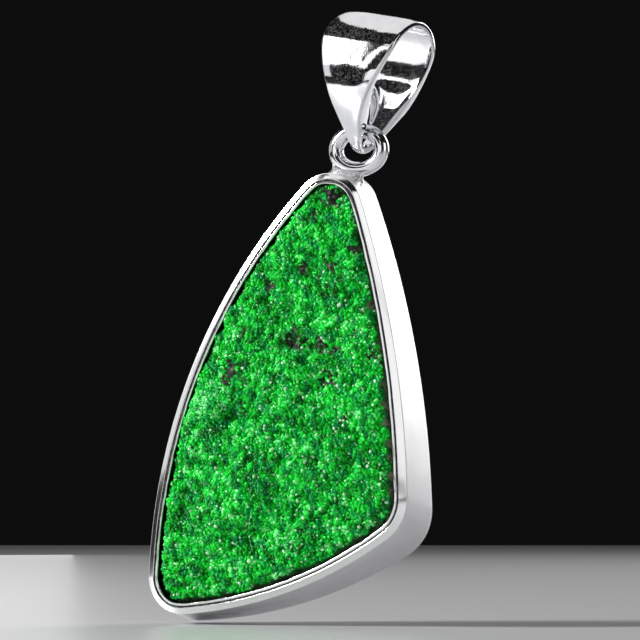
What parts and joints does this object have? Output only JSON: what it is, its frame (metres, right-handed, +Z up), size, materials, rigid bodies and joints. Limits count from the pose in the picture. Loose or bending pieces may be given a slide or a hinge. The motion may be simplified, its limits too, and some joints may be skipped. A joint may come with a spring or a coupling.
{
  "type": "uvarovite druse pendant",
  "caption": "Pendant: a rounded three-cornered slab crusted with small green garnet crystals, in a silver rim with a plate behind it, hung by a ring from a folded tapering silver bail.",
  "frame": {"origin": "middle of the seat inside the top of the bail, where whatever carries the pendant bears on it", "axes": "+Z up as the pendant hangs, -Y out of the crystal face towards the viewer, +X to the right as seen from the front"},
  "size_m": [0.0254, 0.0085, 0.0521],
  "materials": {
    "uvarovite_druse": "sparkling green crystals",
    "bezel_frame": "polished silver bevel and lip over a satin wall",
    "back_plate": "satin silver",
    "hanging_ring": "polished silver",
    "bail": "polished silver"
  },
  "bodies": {
    "bail": {"bail": "bail"},
    "pendant": {"hanging_ring": "hanging_ring", "bezel_frame": "bezel_frame", "back_plate": "back_plate", "uvarovite_druse": "uvarovite_druse"}
  },
  "joints": [
    {"name": "ring_swing", "type": "hinge", "parent": "bail", "child": "pendant", "pos_m": [-0.00243, 0.0004, -0.00905], "axis": [1, 0, 0], "range_deg": [-84, 48]}
  ]
}
